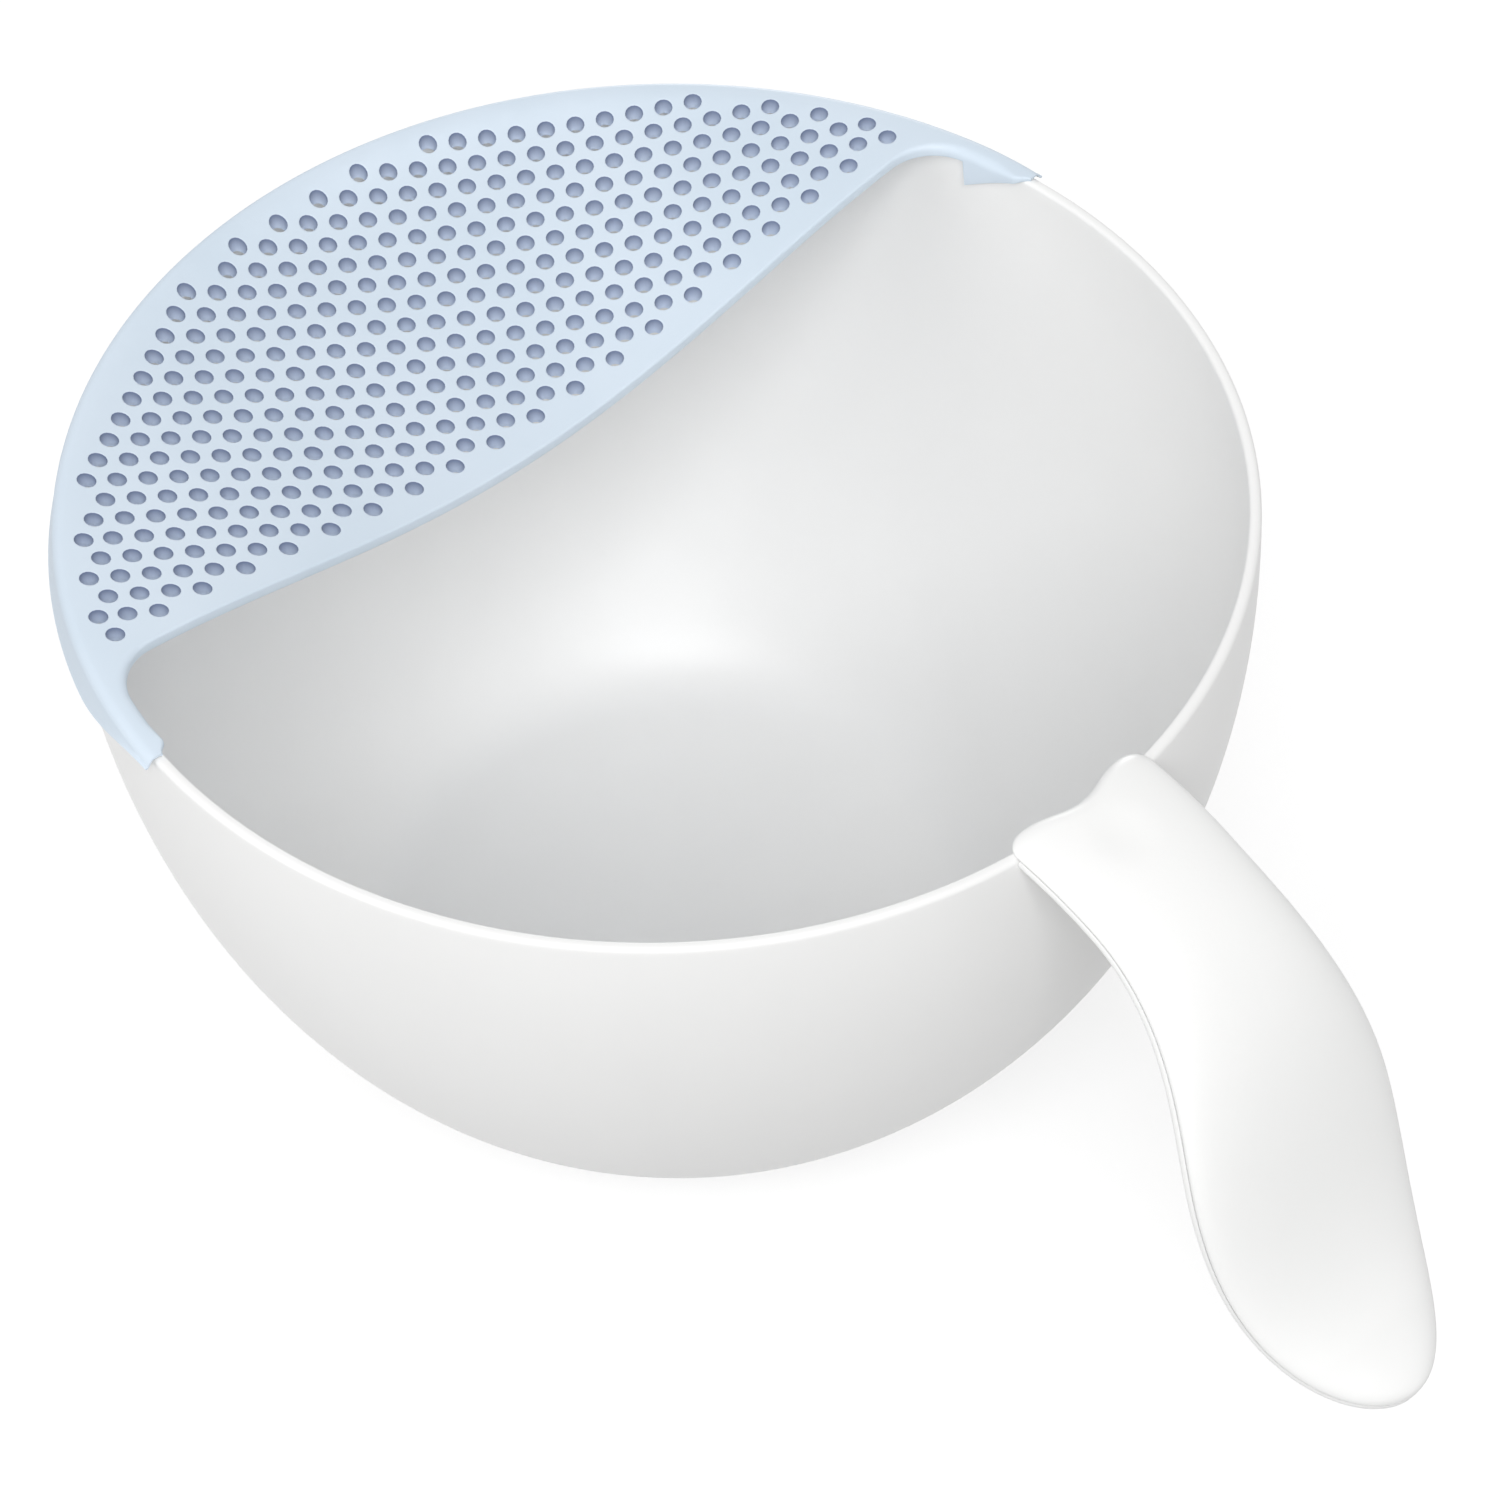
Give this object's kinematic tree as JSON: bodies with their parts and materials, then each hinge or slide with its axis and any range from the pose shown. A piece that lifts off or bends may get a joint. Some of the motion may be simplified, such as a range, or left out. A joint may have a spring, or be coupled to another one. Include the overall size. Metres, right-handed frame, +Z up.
{
  "type": "mixing bowl with clip-on silicone strainer",
  "caption": "Round mixing bowl with a curved drop handle and a perforated crescent strainer that clips over the rim, for rinsing fruit and draining water.",
  "frame": {"origin": "centre of the flat round base that the bowl stands on", "axes": "+Z up along the bowl's axis, +X along the handle, the strainer on -X, mirror plane y = 0"},
  "size_m": [0.2973, 0.2138, 0.1243],
  "materials": {
    "bowl_plastic": "smooth moulded white plastic, glossy",
    "strainer_silicone": "matt pale blue moulded silicone",
    "handle_plastic": "smooth moulded white plastic, satin",
    "screw_steel": "plain zinc-plated steel"
  },
  "bodies": {
    "bowl_and_handle": {"bowl": "bowl_plastic", "handle_upper_shell": "handle_plastic", "handle_lower_shell": "handle_plastic", "grip_screw": "screw_steel", "tang_screw_front": "screw_steel", "tang_screw_back": "screw_steel"},
    "strainer_clip": {"strainer": "strainer_silicone"}
  },
  "joints": [
    {"name": "strainer_lift", "type": "slide", "parent": "bowl_and_handle", "child": "strainer_clip", "axis": [0, 0, 1], "range_m": [0, 0.06]}
  ]
}
